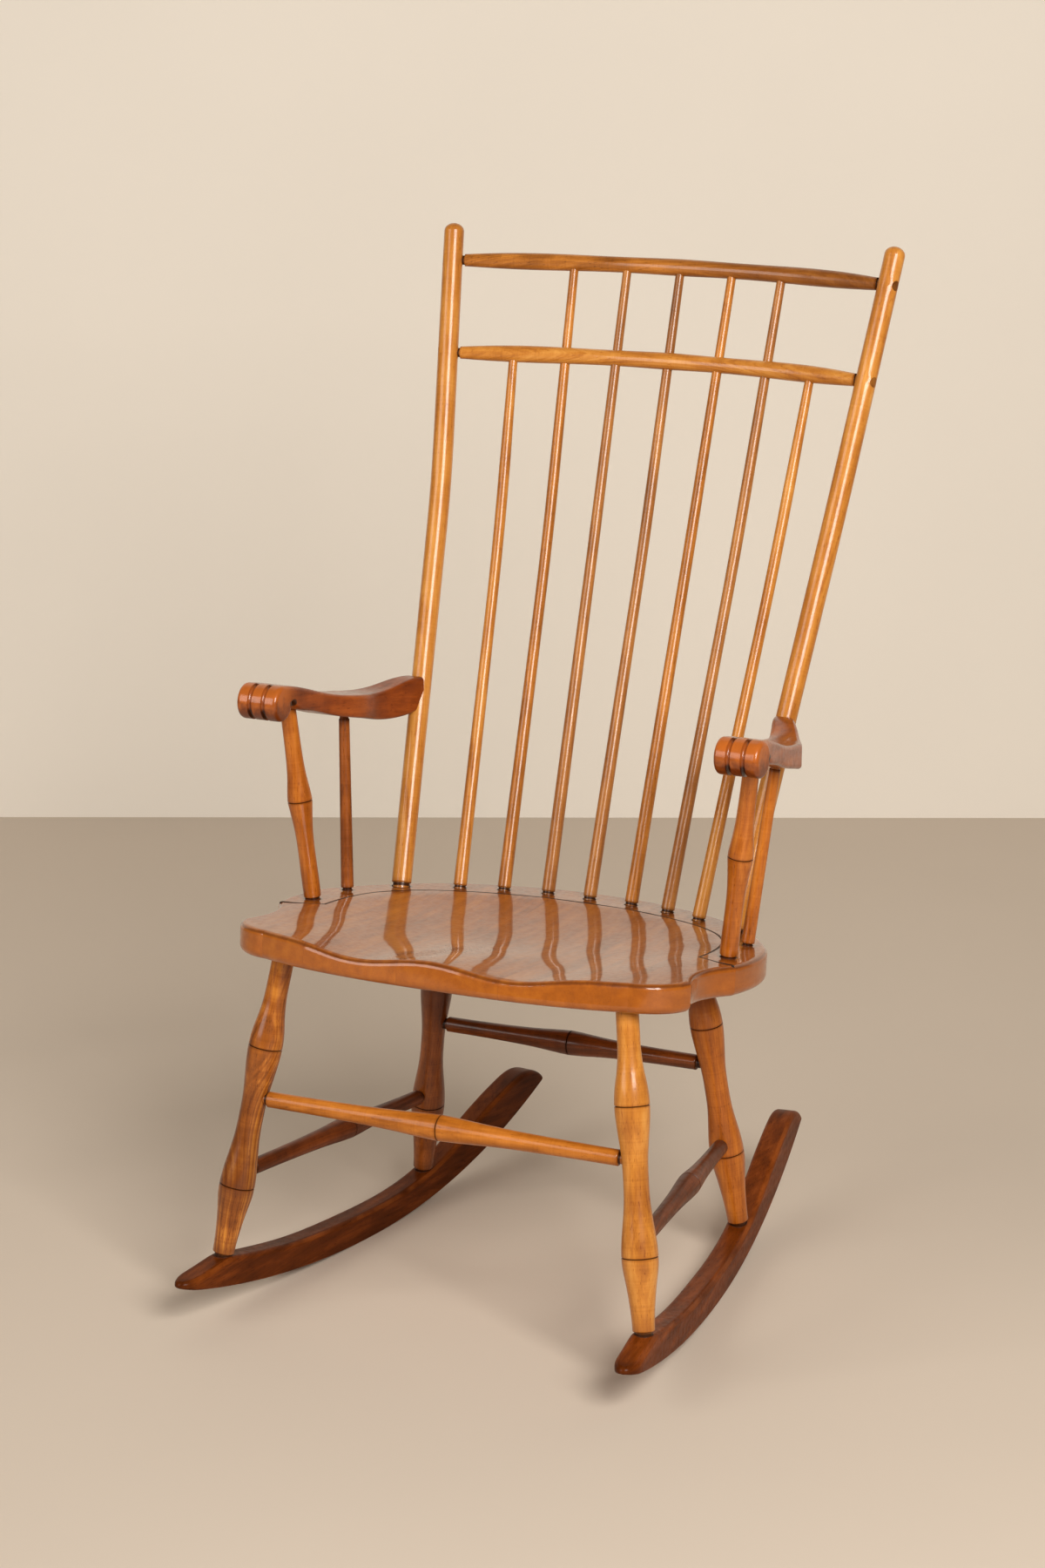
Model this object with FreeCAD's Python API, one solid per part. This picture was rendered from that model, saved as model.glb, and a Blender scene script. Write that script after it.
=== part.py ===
import FreeCAD, Part
import math
import os

# A windsor rocking chair in millimetres. +X is the sitter's left, -Y is the front and +Z is up.
# It is laid out with Y zero midway between the front and back feet and the floor at Z zero.
# At the end the whole chair is moved along Y so that the origin is under the middle of its box.

V = FreeCAD.Vector
os.makedirs("parts", exist_ok=True)

# Fits, rims and overruns shared by every joint
fit = 0.25
end_gap = 0.3
rim_round = 1.2
overrun = 20.0

# Seat plank
seat_height = 418.0
seat_tilt = 6.2
seat_thickness = 34.0
seat_half_width = 282.0
seat_lobe_half_width = 266.0
seat_waist_half_width = 258.0
seat_notch_half_width = 276.5
seat_front_depth = 192.0
seat_back_depth = 262.0
seat_lobe_depth = 112.0
seat_notch_depth = 14.0
seat_top_round = 6.0
seat_bottom_round = 8.0
saddle_depth = 14.0
saddle_half_width = 222.0
saddle_back_depth = 196.0
trough_depth = 9.0
trough_half_width = 180.0
lip_depth = 2.0

# Incised line round the back of the saddle
groove_radius = 1.5
groove_half_width = 227.0
groove_back_depth = 200.0
groove_turn_depth = 8.0

# Rockers
rocker_front_radius = 1225.0
rocker_back_radius = 813.0
rocker_contact = 81.0
rocker_spread = 227.2
rocker_toe = 7.4
rocker_thickness = 28.6
rocker_depth = 34.0
rocker_front_foot_depth = 33.5
rocker_back_foot_depth = 33.5
rocker_front_reach = 275.0
rocker_back_reach = 436.0
rocker_nose_length = 28.0
rocker_top_round = 5.5
rocker_edge_round = 2.5

# Legs
front_foot_reach = 195.0
back_foot_reach = 194.0
front_leg_top_spread = 203.5
front_leg_top_reach = 134.5
back_leg_top_spread = 158.0
back_leg_top_reach = 159.0
leg_foot_diameter = 23.8
leg_lower_ring_diameter = 39.0
leg_waist_diameter = 27.0
leg_upper_ring_diameter = 37.5
leg_top_diameter = 24.4
front_leg_ring_height = 78.0
front_leg_ring_spacing = 159.0
back_leg_ring_height = 86.0
back_leg_ring_spacing = 156.5
leg_upper_swell = 65.0
leg_socket_depth = 22.0
leg_front_cross_diameter = 28.4
leg_rear_cross_diameter = 31.0
leg_side_cross_diameter = 38.6
foot_tenon_diameter = 18.0
foot_tenon_length = 20.0
foot_neck = 3.2

# Rings cut in the turnings
ring_width = 1.8
ring_depth = 1.3

# Stretchers
front_stretcher_height = 243.0
rear_stretcher_height = 235.0
side_stretcher_front_height = 158.5
side_stretcher_back_height = 142.0
stretcher_end_diameter = 17.6
stretcher_ring_diameter = 28.6
side_stretcher_ring_diameter = 26.4
side_stretcher_ring_offset = 20.0
stretcher_tenon_diameter = 12.5
stretcher_tenon_stop = 3.0
stretcher_neck = 3.2

# Back posts
post_foot_spread = 207.5
post_foot_reach = 153.0
post_knee_spread = 245.5
post_knee_reach = 337.5
post_knee_height = 840.0
post_top_spread = 275.3
post_top_reach = 435.0
post_top_height = 1132.0
post_bend_radius = 1400.0
post_foot_diameter = 23.0
post_diameter = 24.2
post_top_diameter = 23.4
post_dome_height = 9.5
post_tenon_diameter = 19.5
post_tenon_length = 22.0
post_neck = 4.2

# Rails between the posts
top_rail_height = 1090.5
lower_rail_height = 986.5
top_rail_bow = 48.5
lower_rail_bow = 46.0
rail_diameter = 19.8
rail_end_diameter = 14.4
rail_tenon_diameter = 11.0
rail_neck = 2.6

# Back spindles, from the middle one outwards
spindle_foot_spread = (0.0, 52.3, 102.6, 149.3)
spindle_foot_reach = (222.3, 221.8, 209.0, 188.4)
spindle_top_spread = (0.0, 65.8, 130.0, 185.8)
spindle_bow = (8.7, 3.0, 11.5, 10.5)
spindle_knee_height = 780.0
spindle_bend_radius = 2500.0
spindle_foot_diameter = 15.6
spindle_top_diameter = 10.2
spindle_tenon_diameter = 13.0
spindle_tenon_length = 20.0
spindle_neck = 2.8
spindle_top_past = 2.0

# Arms
arm_front_reach = 25.7
arm_outer_spread = 308.5
arm_height = 671.0
arm_length = 259.0
arm_width = 50.0
arm_sweep = 93.5
arm_fall = 45.6
arm_edge_round = 4.5
arm_tenon_diameter = 14.0
arm_tenon_length = 12.0
arm_tenon_drop = 60.0
knuckle_diameter = 40.0
knuckle_groove_width = 5.2
knuckle_groove_depth = 2.6

# Turned posts and spindles under the arms
stump_foot_spread = 252.5
stump_foot_reach = 22.8
stump_top_spread = 278.5
stump_top_reach = 17.6
stump_height = 222.0
stump_foot_diameter = 19.4
stump_ring_diameter = 28.0
stump_top_diameter = 17.4
stump_ring_height = 114.5
stump_tenon_diameter = 16.0
stump_tenon_length = 20.0
stump_neck = 2.8
arm_spindle_foot_spread = 246.3
arm_spindle_foot_reach = 94.0
arm_spindle_top_spread = 263.3
arm_spindle_top_reach = 122.5
arm_spindle_height = 194.0
arm_spindle_foot_diameter = 14.8
arm_spindle_top_diameter = 12.4
arm_spindle_tenon_diameter = 10.5
arm_spindle_tenon_length = 18.0
arm_spindle_neck = 2.8
under_arm_depth = 12.0

# Outlines as shares of the sizes above
seat_front_shares = ((0.81, 0.83), (0.41, 0.975), (0.0, 1.0))
seat_back_shares = ((1.0, 0.15), (0.972, 0.32), (0.894, 0.485), (0.762, 0.665), (0.532, 0.863),
                    (0.266, 0.967), (0.0, 1.0))
groove_shares = ((1.0, 0.02), (0.995, 0.285), (0.947, 0.5), (0.757, 0.76), (0.573, 0.875),
                 (0.33, 0.965), (0.0, 1.0))
rocker_nose_shares = ((1.0, 0.0), (0.93, 0.37), (0.73, 0.69), (0.4, 0.92), (0.0, 1.0))
rocker_front_shares = ((-1.0, 0.2), (-0.95, 0.35), (-0.875, 0.56), (-0.8, 0.77), (-0.755, 0.895))
rocker_middle_shares = ((-0.64, 1.0), (-0.48, 0.985), (-0.31, 0.965), (0.12, 0.98))
rocker_back_shares = ((0.6, 1.22), (0.735, 1.4), (0.84, 1.35), (0.92, 1.09), (0.968, 0.66), (1.0, 0.2))
lower_swell_shares = ((0.0, 0.0), (0.33, 0.2), (0.66, 0.62), (0.92, 0.985), (1.0, 1.0))
waist_swell_shares = ((0.0, 1.0), (0.13, 0.93), (0.4, 0.54), (0.7, 0.1), (1.0, 0.0))
upper_swell_shares = ((0.0, 1.0), (0.06, 0.985), (0.25, 0.83), (0.6, 0.28), (0.8, 0.08), (1.0, 0.0))
stretcher_swell_shares = ((0.0, 0.0), (0.3, 0.06), (0.55, 0.22), (0.75, 0.49), (0.9, 0.83), (1.0, 1.0))
stump_lower_shares = ((0.0, 0.0), (0.35, 0.02), (0.68, 0.14), (0.87, 0.6), (1.0, 1.0))
stump_upper_shares = ((0.0, 1.0), (0.1, 0.82), (0.22, 0.5), (0.45, 0.18), (1.0, 0.0))
rail_taper_shares = ((0.0, 0.0), (0.04, 0.4), (0.1, 0.84), (0.2, 1.0), (0.5, 1.0))
arm_top_shares = ((0.0, 0.0), (0.095, 0.11), (0.23, 0.342), (0.358, 0.588), (0.481, 0.77), (0.609, 0.904),
                  (0.748, 1.0), (0.833, 0.965), (0.91, 0.888), (1.0, 0.87))
arm_under_shares = ((0.095, 0.614), (0.229, 0.886), (0.408, 1.217), (0.605, 1.513), (0.748, 1.72),
                    (0.833, 1.776), (0.91, 1.77), (1.0, 1.68))
arm_inner_shares = ((0.0, 0.535), (0.176, 0.561), (0.37, 0.626), (0.613, 0.743), (0.705, 0.743),
                    (0.802, 0.802), (0.898, 0.887), (1.0, 0.975))
arm_outer_shares = ((0.62, 0.209), (0.72, 0.316), (0.79, 0.412), (0.883, 0.54), (0.947, 0.636), (1.0, 0.715))


def line(start, end):
    return Part.LineSegment(start, end).toShape()


def spline(points):
    curve = Part.BSplineCurve()
    curve.interpolate(points)
    return curve.toShape()


def unit(start, end):
    """The direction from one point to another."""
    return (end - start).normalize()


def mirrored(shape):
    """The same shape on the other side of the centre plane."""
    return shape.mirror(V(0, 0, 0), V(1, 0, 0))


def rod(start, along, length, diameter):
    """A round bar from a point in a direction."""
    return Part.makeCylinder(diameter / 2, length, start, along)


def socket(mouth, into, depth, diameter):
    """The tool that bores a blind socket for a round tenon of the given depth and diameter."""
    return rod(mouth - into * overrun, into, overrun + depth + end_gap, diameter + 2 * fit)


def turned(start, along, runs):
    """A turning: runs of (distance, diameter) points, straight for two and smooth for more."""
    points = [[V(diameter / 2, 0, distance) for distance, diameter in run] for run in runs]
    first, last = points[0][0], points[-1][-1]
    edges = [line(V(0, 0, first.z), first)]
    for run in points:
        edges.append(line(run[0], run[1]) if len(run) == 2 else spline(run))
    if last.x > 0:
        edges.append(line(last, V(0, 0, last.z)))
    edges.append(line(V(0, 0, last.z), V(0, 0, first.z)))
    solid = Part.Face(Part.Wire(edges)).revolve(V(0, 0, 0), V(0, 0, 1), 360)
    solid.Placement = FreeCAD.Placement(start, FreeCAD.Rotation(V(0, 0, 1), along))
    return solid


def swell(begin, end, small, large, shares):
    """Points of a turning that swells between a small and a large diameter."""
    return [(begin + (end - begin) * at, small + (large - small) * size) for at, size in shares]


def ring(middle, diameter):
    """The two straight sides of a ring cut in a turning."""
    bottom = (middle, diameter - 2 * ring_depth)
    return [[(middle - ring_width / 2, diameter), bottom], [bottom, (middle + ring_width / 2, diameter)]]


def shoulder(at, tenon, diameter, inward):
    """A square shoulder with a softened rim; inward is 1 where the body lies above it, else -1."""
    rim = (at, diameter - 2 * rim_round)
    soft = [rim, (at + inward * rim_round / 3, diameter - rim_round / 1.5), (at + inward * rim_round, diameter)]
    runs = [[(at, tenon), rim], soft]
    return runs if inward > 0 else [run[::-1] for run in runs[::-1]]


def round_loft(stations):
    """A smooth bar through round sections given as (centre, direction, diameter)."""
    hoops = [Part.Wire(Part.makeCircle(size / 2, centre, along)) for centre, along, size in stations]
    return Part.makeLoft(hoops, True, False)


# The seat's top plane, from which every joint in the seat is worked out
seat_slope = math.tan(math.radians(seat_tilt))
seat_normal = V(0, math.sin(math.radians(seat_tilt)), math.cos(math.radians(seat_tilt)))


def on_seat(spread, reach):
    """A point of the seat's top plane."""
    return V(spread, reach, seat_height - seat_slope * reach)


def under_seat(spread, reach):
    """A point of the seat's flat underside."""
    return on_seat(spread, reach) - V(0, 0, seat_thickness / seat_normal.z)


def seat_outline():
    """The plan of the plank: a bowed front with two lobes, a waist, a notch and a D-shaped back."""
    front = [V(seat_lobe_half_width * a, -seat_front_depth * b, 0) for a, b in seat_front_shares]
    front += [V(-point.x, point.y, 0) for point in reversed(front[:-1])]
    back = [V(seat_notch_half_width, -seat_notch_depth, 0)]
    back += [V(seat_half_width * a, seat_back_depth * b, 0) for a, b in seat_back_shares]
    back += [V(-point.x, point.y, 0) for point in reversed(back[:-1])]
    lobe = V(seat_lobe_half_width, -seat_lobe_depth, 0)
    corner = (front[0] + lobe + V(lobe.x, front[0].y, 0)) / 3
    waist = V(seat_waist_half_width, -(seat_lobe_depth + seat_notch_depth) / 2, 0)
    half = [Part.Arc(front[0], corner, lobe).toShape(), spline([lobe, waist, back[0]])]
    edges = [spline(front), spline(back)] + half + [mirrored(edge) for edge in half]
    return Part.Wire(Part.__sortEdges__(edges))


def saddle(spread, reach):
    """How far the seat's face lies below the plank's flat top."""
    bowl = saddle_depth * max(0.0, 1 - (spread / saddle_half_width) ** 2)
    if reach > 0:
        return max(0.0, bowl - saddle_depth * (reach / saddle_back_depth) ** 2)
    forward = min(1.0, -reach / seat_front_depth)
    ease = forward * forward * (3 - 2 * forward)
    trough = math.sin(math.pi * min(1.0, abs(spread) / trough_half_width)) ** 2
    return bowl * (1 - ease) + (lip_depth + trough_depth * trough) * ease


def above_saddle():
    """Everything above the sculpted face of the seat."""
    columns, rows = 24, 22
    left, low = -seat_half_width - overrun, -seat_front_depth - overrun
    wide, deep = 2 * (seat_half_width + overrun), seat_front_depth + seat_back_depth + 2 * overrun
    grid = []
    for i in range(columns + 1):
        x = left + wide * i / columns
        ys = [low + deep * j / rows for j in range(rows + 1)]
        grid.append([V(x, y, -saddle(x, y)) for y in ys])
    surface = Part.BSplineSurface()
    surface.interpolate(grid)
    return surface.toShape().extrude(V(0, 0, seat_thickness))


def groove_line():
    """The incised line: a D round the saddle, then a short run out to each notch."""
    back = [V(groove_half_width * a, groove_back_depth * b, 0) for a, b in groove_shares]
    back += [V(-point.x, point.y, 0) for point in reversed(back[:-1])]
    notch = V(seat_notch_half_width + 2 * groove_radius, -seat_notch_depth, 0)
    turn = V((back[0].x + notch.x) / 2, -groove_turn_depth, 0)
    runs = []
    for points in (back, [back[0], turn, notch]):
        edge = spline(points)
        start, along = edge.valueAt(edge.FirstParameter), edge.tangentAt(edge.FirstParameter)
        hoop = Part.Wire(Part.makeCircle(groove_radius, start, along))
        runs.append(Part.Wire(edge).makePipeShell([hoop], True, False))
    tool = runs[0]
    corners = [Part.makeSphere(groove_radius, point) for point in (back[0], back[-1])]
    for piece in [runs[1], mirrored(runs[1])] + corners:
        tool = tool.fuse(piece)
    return tool


def seat_blank():
    """The plank with its saddle, softened rims and incised line, before any socket is bored."""
    plank = Part.Face(seat_outline()).extrude(V(0, 0, seat_thickness + seat_top_round))
    plank.translate(V(0, 0, -seat_thickness))
    plank = plank.cut(above_saddle())
    rim = [edge for edge in plank.Edges if edge.BoundBox.ZMin > -seat_thickness / 1.5]
    plank = plank.makeFillet(seat_top_round, rim)
    low = [edge for edge in plank.Edges if edge.BoundBox.ZMax < -seat_thickness + fit]
    plank = plank.makeFillet(seat_bottom_round, low)
    plank = plank.cut(groove_line())
    plank.Placement = FreeCAD.Placement(V(0, 0, seat_height), FreeCAD.Rotation(V(1, 0, 0), -seat_tilt))
    return plank


def rocker_along(reach):
    """Distance along a rocker from its contact point to a place at a given reach."""
    return (reach - rocker_contact) / math.cos(math.radians(rocker_toe))


def on_rocker(reach, depth):
    """A point in the middle of the rocker's thickness, a given depth above its bottom arc."""
    radius = rocker_back_radius if reach > rocker_contact else rocker_front_radius
    rise = radius - math.sqrt(radius ** 2 - rocker_along(reach) ** 2)
    return V(rocker_spread - math.tan(math.radians(rocker_toe)) * reach, reach, rise + depth)


def rocker_side(reach, depth):
    """The same point in the rocker's own upright plane, measured from where it meets the floor."""
    return V(0, rocker_along(reach), on_rocker(reach, depth).z)


def rocker_outline(front, back):
    """Points of the top of the rocker from the nose to the tail."""
    points = [(front * at, rocker_depth * deep) for at, deep in rocker_front_shares]
    points.append((-front_foot_reach, rocker_front_foot_depth))
    points += [(front * at, rocker_depth * deep) for at, deep in rocker_middle_shares]
    points.append((back_foot_reach, rocker_back_foot_depth))
    points += [(back * at, rocker_depth * deep) for at, deep in rocker_back_shares]
    return [rocker_side(reach, deep) for reach, deep in points]


def above_tread(edge):
    """Whether an edge of the rocker, in its own upright plane, is clear of the two bottom arcs."""
    middle = edge.valueAt((edge.FirstParameter + edge.LastParameter) / 2)
    radius = rocker_back_radius if middle.y > 0 else rocker_front_radius
    return middle.z > radius - math.sqrt(radius ** 2 - middle.y ** 2) + rocker_edge_round


def rocker_blank():
    """A plank on edge cut to two long arcs below, with a spooned nose and a raised, rounded tail."""
    top = rocker_outline(rocker_front_reach, rocker_back_reach)
    nose, tail, floor = rocker_side(-rocker_front_reach, 0), rocker_side(rocker_back_reach, 0), V(0, 0, 0)
    front_arc = Part.Arc(nose, rocker_side(-front_foot_reach, 0), floor).toShape()
    back_arc = Part.Arc(floor, rocker_side(back_foot_reach, 0), tail).toShape()
    edges = [front_arc, back_arc, line(tail, top[-1]), spline(top[::-1]), line(top[0], nose)]
    blank = Part.Face(Part.Wire(edges)).extrude(V(rocker_thickness, 0, 0))
    half = rocker_thickness / 2
    blank.translate(V(-half, 0, 0))
    near, far = nose.y + fit + rocker_nose_length, tail.y + overrun
    point = [V(half * wide, near - rocker_nose_length * ahead, 0) for wide, ahead in rocker_nose_shares]
    point += [V(-place.x, place.y, 0) for place in reversed(point[:-1])]
    sides = [line(point[0], V(half, far, 0)), line(V(half, far, 0), V(-half, far, 0)),
             line(V(-half, far, 0), point[-1]), spline(point)]
    plan = Part.Face(Part.Wire(sides)).extrude(V(0, 0, rocker_back_reach))
    plan.translate(V(0, 0, -overrun))
    blank = blank.common(plan).Solids[0]
    for radius, on_top in ((rocker_top_round, True), (rocker_edge_round, False)):
        long = [edge for edge in blank.Edges if edge.BoundBox.YLength > rocker_thickness / 2]
        blank = blank.makeFillet(radius, [edge for edge in long if above_tread(edge) == on_top])
    place = FreeCAD.Placement(on_rocker(rocker_contact, 0), FreeCAD.Rotation(V(0, 0, 1), rocker_toe))
    blank.Placement = place
    return blank


def leg(foot, top, lower, spacing):
    """A double-swelled leg from its tenon in the rocker to its socket in the seat."""
    upper = lower + spacing
    side, middle = ring_width / 2, (lower + upper) / 2
    end = (top - foot).Length - foot_neck + leg_socket_depth
    waist = swell(lower + side, middle, leg_waist_diameter, leg_lower_ring_diameter, waist_swell_shares)
    waist += swell(upper - side, middle, leg_waist_diameter, leg_upper_ring_diameter, waist_swell_shares)[-2::-1]
    neck_top = upper + leg_upper_swell
    runs = [[(-foot_neck - foot_tenon_length, foot_tenon_diameter), (0, foot_tenon_diameter)]]
    runs += shoulder(0, foot_tenon_diameter, leg_foot_diameter, 1)
    runs.append(swell(rim_round, lower - side, leg_foot_diameter, leg_lower_ring_diameter, lower_swell_shares))
    runs += ring(lower, leg_lower_ring_diameter) + [waist] + ring(upper, leg_upper_ring_diameter)
    runs.append(swell(upper + side, neck_top, leg_top_diameter, leg_upper_ring_diameter, upper_swell_shares))
    runs.append([(neck_top, leg_top_diameter), (end, leg_top_diameter)])
    along = unit(foot, top)
    return turned(foot + along * foot_neck, along, runs)


def stretcher(start, end, off, ring_diameter, ring_offset):
    """A stretcher between two leg axes, off them by its shoulders, with a cut ring on its swell."""
    span = (end - start).Length
    middle, side = span / 2 + ring_offset, ring_width / 2
    small, tenon, stop = stretcher_end_diameter, stretcher_tenon_diameter, stretcher_tenon_stop
    runs = [[(stop, tenon), (off, tenon)]] + shoulder(off, tenon, small, 1)
    runs.append(swell(off + rim_round, middle - side, small, ring_diameter, stretcher_swell_shares))
    runs += ring(middle, ring_diameter)
    runs.append(swell(span - off - rim_round, middle + side, small, ring_diameter, stretcher_swell_shares)[::-1])
    runs += shoulder(span - off, tenon, small, -1) + [[(span - off, tenon), (span - stop, tenon)]]
    return turned(start, unit(start, end), runs)


def stretcher_socket(axis_point, toward, leg_diameter):
    """The socket in a leg for a stretcher that comes to its axis from one side."""
    mouth = axis_point + toward * (leg_diameter / 2)
    return socket(mouth, -toward, leg_diameter / 2 - stretcher_tenon_stop, stretcher_tenon_diameter)


def at_height(start, end, height):
    """The point at a given height on the line through two points."""
    return start + (end - start) * ((height - start.z) / (end.z - start.z))


def bent_bar(foot, knee, top, radius, low, middle, high):
    """A round bar that is straight, bent once and straight again; low, middle and high are diameters."""
    first, second = unit(foot, knee), unit(knee, top)
    turn = first.getAngle(second)
    setback = radius * math.tan(turn / 2)
    start, finish = knee - first * setback, knee + second * setback
    lower = Part.makeCone(low / 2, middle / 2, (start - foot).Length, foot, first)
    upper = Part.makeCone(middle / 2, high / 2, (top - finish).Length, finish, second)
    hinge = first.cross(second).normalize()
    disc = Part.Face(Part.Wire(Part.makeCircle(middle / 2, start, first)))
    bend = disc.revolve(start + hinge.cross(first) * radius, hinge, math.degrees(turn))
    return lower.fuse([bend, upper]).removeSplitter()


# The three points of the left post's axis
post_foot = on_seat(post_foot_spread, post_foot_reach)
post_knee = V(post_knee_spread, post_knee_reach, post_knee_height)
post_top = V(post_top_spread, post_top_reach, post_top_height)
post_low, post_high = unit(post_foot, post_knee), unit(post_knee, post_top)


def post_blank():
    """A round post with a necked tenon below, one bend and a domed top."""
    begin, rim = post_foot + post_low * (post_neck + rim_round), post_top - post_high * post_dome_height
    bar = bent_bar(begin, post_knee, rim, post_bend_radius, post_foot_diameter, post_diameter, post_top_diameter)
    runs = [[(-post_tenon_length, post_tenon_diameter), (post_neck, post_tenon_diameter)]]
    runs += shoulder(post_neck, post_tenon_diameter, post_foot_diameter, 1)
    tall, wide = post_dome_height, post_top_diameter
    dome = [(0, wide), (tall * 0.55, wide * 0.83), (tall * 0.9, wide * 0.42), (tall, 0)]
    return bar.fuse([turned(post_foot, post_low, runs), turned(rim, post_high, [dome])]).removeSplitter()


# Each rail is an arc in plan through the axes of both posts
def rail_curve(height, bow):
    """The rail's centre line between the two post axes."""
    end = at_height(post_knee, post_top, height)
    return Part.Arc(V(-end.x, end.y, height), V(0, end.y + bow, height), V(end.x, end.y, height))


def on_rail(height, bow, spread):
    """The point of a rail's centre line at a distance from the centre plane."""
    end = at_height(post_knee, post_top, height)
    radius = (end.x ** 2 + bow ** 2) / (2 * bow)
    return V(spread, end.y + bow - radius + math.sqrt(radius ** 2 - spread ** 2), height)


def rail_point(curve, share):
    """A point and the direction on a rail's centre line at a share of its length."""
    at = curve.FirstParameter + (curve.LastParameter - curve.FirstParameter) * share
    return curve.value(at), V(*curve.tangent(at)[0])


def rail_end(curve):
    """The share of its length at which a rail's body ends short of the post."""
    return (post_diameter / 2 + rail_neck) / curve.length()


def rail_blank(height, bow):
    """A bowed rail, plain round between the posts with a tenon right through each post."""
    curve = rail_curve(height, bow)
    off = rail_end(curve)
    half = [(off + (1 - 2 * off) * at, size) for at, size in rail_taper_shares]
    whole = half + [(1 - at, size) for at, size in reversed(half[:-1])]
    stations = []
    for at, size in whole:
        centre, along = rail_point(curve, at)
        stations.append((centre, along, rail_end_diameter + (rail_diameter - rail_end_diameter) * size))
    rail = round_loft(stations)
    centre, along = rail_point(curve, off)
    inner = rod(centre + along * rail_neck, -along, post_diameter / 2 + rail_neck, rail_tenon_diameter)
    outer = rod(centre, -along, 2 * overrun, rail_tenon_diameter).common(mirrored(post_blank()))
    tenon = inner.fuse(outer)
    return rail.fuse([tenon, mirrored(tenon)]).removeSplitter()


def spindle_axis(index):
    """A back spindle's foot on the seat, its knee, and its end on the axis of the rail it stops in."""
    foot = on_seat(spindle_foot_spread[index], spindle_foot_reach[index])
    outer = index == len(spindle_bow) - 1
    height, bow = (lower_rail_height, lower_rail_bow) if outer else (top_rail_height, top_rail_bow)
    top = on_rail(height, bow, spindle_top_spread[index])
    knee = at_height(foot, top, spindle_knee_height) + V(0, spindle_bow[index], 0)
    return foot, knee, top


def spindle(index, play=0.0, gap=0.0):
    """A tapering bent spindle; play and gap make it the tool that bores the rails for it."""
    foot, knee, top = spindle_axis(index)
    low, high = unit(foot, knee), unit(knee, top)
    begin, end = foot + low * (spindle_neck + rim_round), top + high * (spindle_top_past + gap)
    middle = (spindle_foot_diameter + spindle_top_diameter) / 2 + 2 * play
    foot_size, top_size = spindle_foot_diameter + 2 * play, spindle_top_diameter + 2 * play
    shaft = bent_bar(begin, knee, end, spindle_bend_radius, foot_size, middle, top_size)
    runs = [[(-spindle_tenon_length, spindle_tenon_diameter), (spindle_neck, spindle_tenon_diameter)]]
    runs += shoulder(spindle_neck, spindle_tenon_diameter, foot_size, 1)
    return shaft.fuse(turned(foot, low, runs)).removeSplitter()


def spindle_socket(index):
    """The socket for a back spindle in the seat."""
    foot, knee, top = spindle_axis(index)
    return socket(foot, unit(knee, foot), spindle_tenon_length, spindle_tenon_diameter)


# The axes of the turned parts under the left arm
stump_foot = on_seat(stump_foot_spread, stump_foot_reach)
stump_top = V(stump_top_spread, stump_top_reach, stump_foot.z + stump_height)
arm_spindle_foot = on_seat(arm_spindle_foot_spread, arm_spindle_foot_reach)
arm_spindle_top = V(arm_spindle_top_spread, arm_spindle_top_reach, arm_spindle_foot.z + arm_spindle_height)


def arm_stump():
    """The turned post under the front of an arm, with one cut ring on its swell."""
    end, side = (stump_top - stump_foot).Length, ring_width / 2
    small, large, top = stump_foot_diameter, stump_ring_diameter, stump_top_diameter
    runs = [[(-stump_tenon_length, stump_tenon_diameter), (stump_neck, stump_tenon_diameter)]]
    runs += shoulder(stump_neck, stump_tenon_diameter, small, 1)
    runs.append(swell(stump_neck + rim_round, stump_ring_height - side, small, large, stump_lower_shares))
    runs += ring(stump_ring_height, large)
    runs.append(swell(stump_ring_height + side, end, top, large, stump_upper_shares))
    runs.append([(end, top), (end + under_arm_depth, top)])
    return turned(stump_foot, unit(stump_foot, stump_top), runs)


def arm_spindle():
    """The plain tapered spindle under the middle of an arm."""
    end, tenon = (arm_spindle_top - arm_spindle_foot).Length, arm_spindle_tenon_diameter
    low, high = arm_spindle_foot_diameter, arm_spindle_top_diameter
    runs = [[(-arm_spindle_tenon_length, tenon), (arm_spindle_neck, tenon)]]
    runs += shoulder(arm_spindle_neck, tenon, low, 1)
    runs.append([(arm_spindle_neck + rim_round, low), (end - rim_round, high)])
    runs += shoulder(end, tenon, high, -1) + [[(end, tenon), (end + arm_spindle_neck + under_arm_depth, tenon)]]
    return turned(arm_spindle_foot, unit(arm_spindle_foot, arm_spindle_top), runs)


def arm_side(at, down):
    """A point of the arm's side view."""
    return V(0, arm_length * at - arm_front_reach, arm_height - arm_fall * down)


def arm_plan(at, inward):
    """A point of the arm's plan."""
    return V(arm_outer_spread - arm_sweep * inward, arm_length * at - arm_front_reach, 0)


def arm_slab():
    """The arm behind its knuckles: a dished side view cut to a plan that narrows to the post."""
    top = [arm_side(at, down) for at, down in arm_top_shares]
    under = [arm_side(at, down) for at, down in arm_under_shares]
    centre = top[0] - V(0, 0, knuckle_diameter / 2)
    eye = centre + V(0, knuckle_diameter / 2 - knuckle_groove_depth, 0)
    edges = [spline(top), line(top[0], centre), line(centre, eye), spline([eye] + under), line(under[-1], top[-1])]
    slab = Part.Face(Part.Wire(edges)).extrude(V(arm_outer_spread + overrun, 0, 0))
    inner = [arm_plan(at, inward) for at, inward in arm_inner_shares]
    outer = [arm_plan(at, inward) for at, inward in arm_outer_shares]
    corner = arm_plan(0, 0)
    edges = [spline(inner), line(inner[-1], outer[-1]), spline(outer[::-1]), line(outer[0], corner),
             line(corner, inner[0])]
    slab = slab.common(Part.Face(Part.Wire(edges)).extrude(V(0, 0, arm_height + overrun))).Solids[0]
    long = [edge for edge in slab.Edges if edge.BoundBox.YLength > arm_width / 2 and edge.BoundBox.XLength > fit]
    return slab.makeFillet(arm_edge_round, long)


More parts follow.
